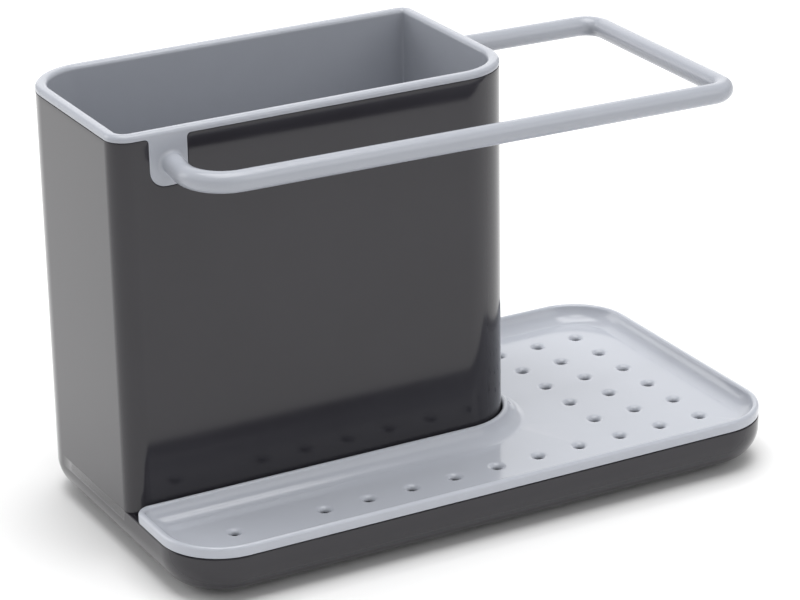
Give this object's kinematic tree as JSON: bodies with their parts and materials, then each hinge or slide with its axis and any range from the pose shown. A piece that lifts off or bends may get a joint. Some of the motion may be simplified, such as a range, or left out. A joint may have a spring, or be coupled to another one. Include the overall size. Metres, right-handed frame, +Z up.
{
  "type": "kitchen sink caddy",
  "caption": "Sink caddy: a tall bin with a lift-out liner and a hanging rail for a cloth, on a low base with a lift-out perforated drain tray.",
  "frame": {"origin": "centre of the footprint on the table, level with the undersides of the feet", "axes": "+X along the length, towards the end of the rail; +Y to the back, on the bin's side; +Z up"},
  "size_m": [0.205, 0.112, 0.133],
  "materials": {
    "dark_body": "polished dark grey moulding",
    "pale_insert": "satin light grey moulding",
    "pale_tray": "glossy light grey moulding",
    "foot_rubber": "soft black rubber"
  },
  "bodies": {
    "base": {"outer_body": "dark_body", "front_left_foot": "foot_rubber", "front_right_foot": "foot_rubber", "back_left_foot": "foot_rubber", "back_right_foot": "foot_rubber"},
    "liner": {"inner_liner": "pale_insert", "hanging_rail": "pale_insert"},
    "tray": {"drain_tray": "pale_tray"}
  },
  "joints": [
    {"name": "liner_lift", "type": "slide", "parent": "base", "child": "liner", "axis": [0, 0, 1], "range_m": [0, 0.12]},
    {"name": "tray_lift", "type": "slide", "parent": "base", "child": "tray", "axis": [0, 0, 1], "range_m": [0, 0.09]}
  ]
}
